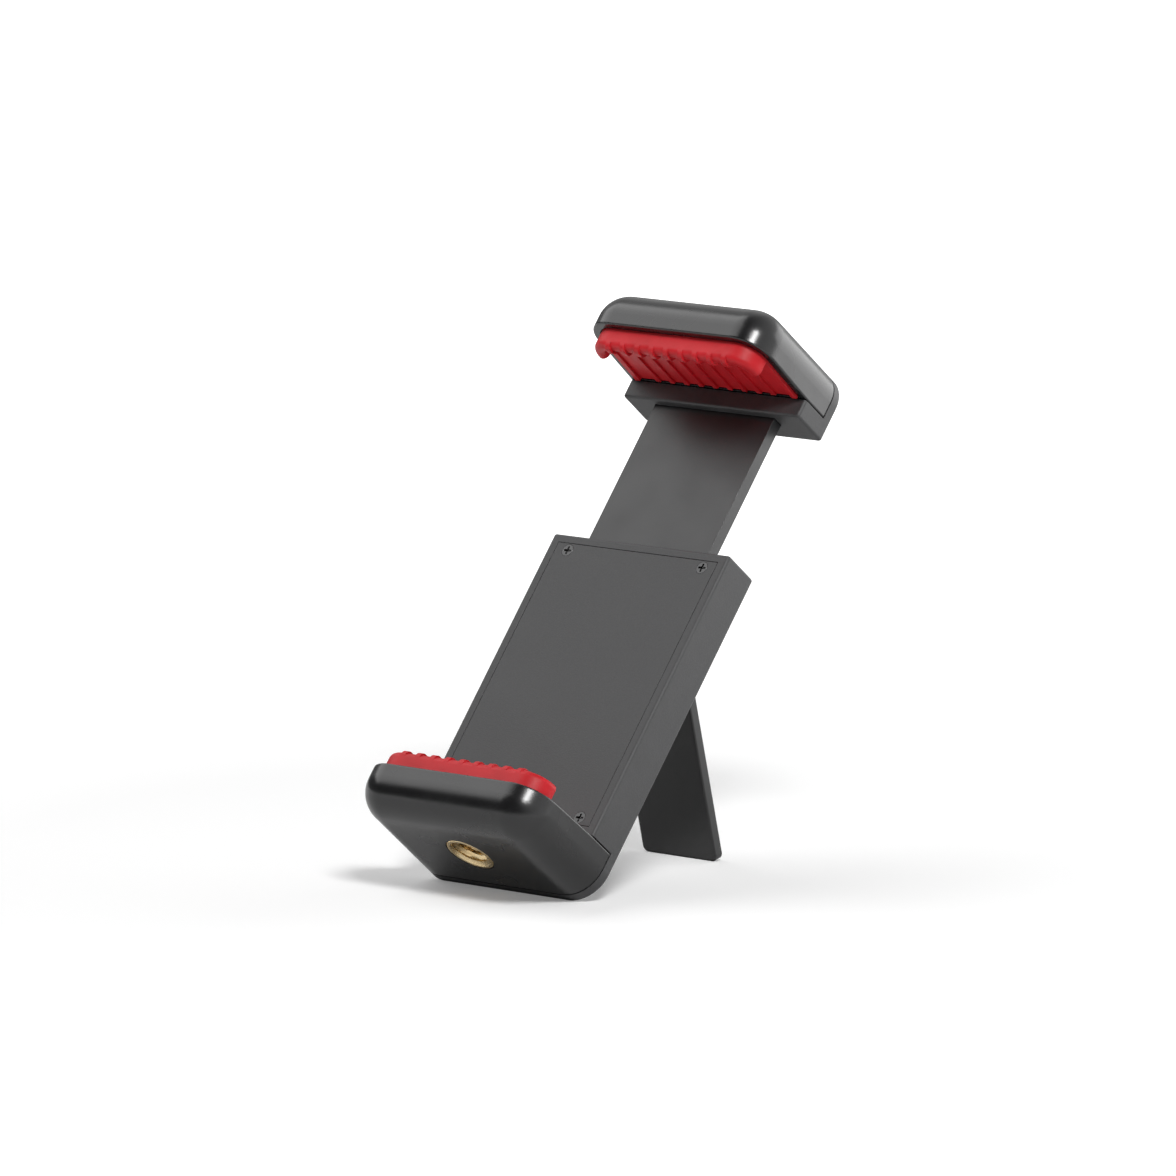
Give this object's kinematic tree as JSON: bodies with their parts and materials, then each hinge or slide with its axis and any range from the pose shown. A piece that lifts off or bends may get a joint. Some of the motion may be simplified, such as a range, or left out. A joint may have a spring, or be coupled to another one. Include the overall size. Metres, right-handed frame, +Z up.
{
  "type": "phone clamp tripod adapter",
  "caption": "Spring phone clamp with ribbed rubber jaws, a sliding upper jaw, a tripod socket and a fold-out leg, standing leant back.",
  "frame": {"origin": "middle of the bounding box, on the surface the clamp stands on", "axes": "+Z up, +X across the clamp to its right seen from the front, the jaws' lips face -Y and the leg opens towards +Y"},
  "size_m": [0.0354, 0.0742, 0.0852],
  "materials": {
    "jaw_plastic": "satin black moulded plastic",
    "housing_plastic": "finely textured dark grey plastic",
    "arm_plastic": "black filled plastic",
    "stand_plastic": "black plastic",
    "grip_rubber": "red rubber",
    "plate_plastic": "plain moulded plastic",
    "brass": "turned brass",
    "steel": "plain steel",
    "screw_steel": "blackened steel"
  },
  "bodies": {
    "base": {"lower_jaw": "jaw_plastic", "lower_pad_plate": "plate_plastic", "lower_pad": "grip_rubber", "tripod_socket": "brass", "lower_jaw_screws": "steel", "back_housing": "housing_plastic", "front_cover": "housing_plastic", "cover_screws": "screw_steel", "spring_posts": "steel", "left_spring": "steel", "right_spring": "steel", "leg_pin": "steel"},
    "slider": {"slide_arm": "arm_plastic", "spring_cross_pin": "steel", "upper_jaw": "jaw_plastic", "upper_pad_plate": "plate_plastic", "upper_pad": "grip_rubber", "upper_jaw_screws": "steel", "upper_back": "housing_plastic"},
    "stand": {"stand_leg": "stand_plastic"}
  },
  "joints": [
    {"name": "jaw_slide", "type": "slide", "parent": "base", "child": "slider", "axis": [0, 0.6254, 0.7803], "range_m": [-0.0248, 0.0052], "deforming": ["left_spring", "right_spring"]},
    {"name": "stand_hinge", "type": "hinge", "parent": "base", "child": "stand", "pos_m": [0, 0.0086, 0.03934], "axis": [1, 0, 0], "range_deg": [-53, 0]}
  ]
}
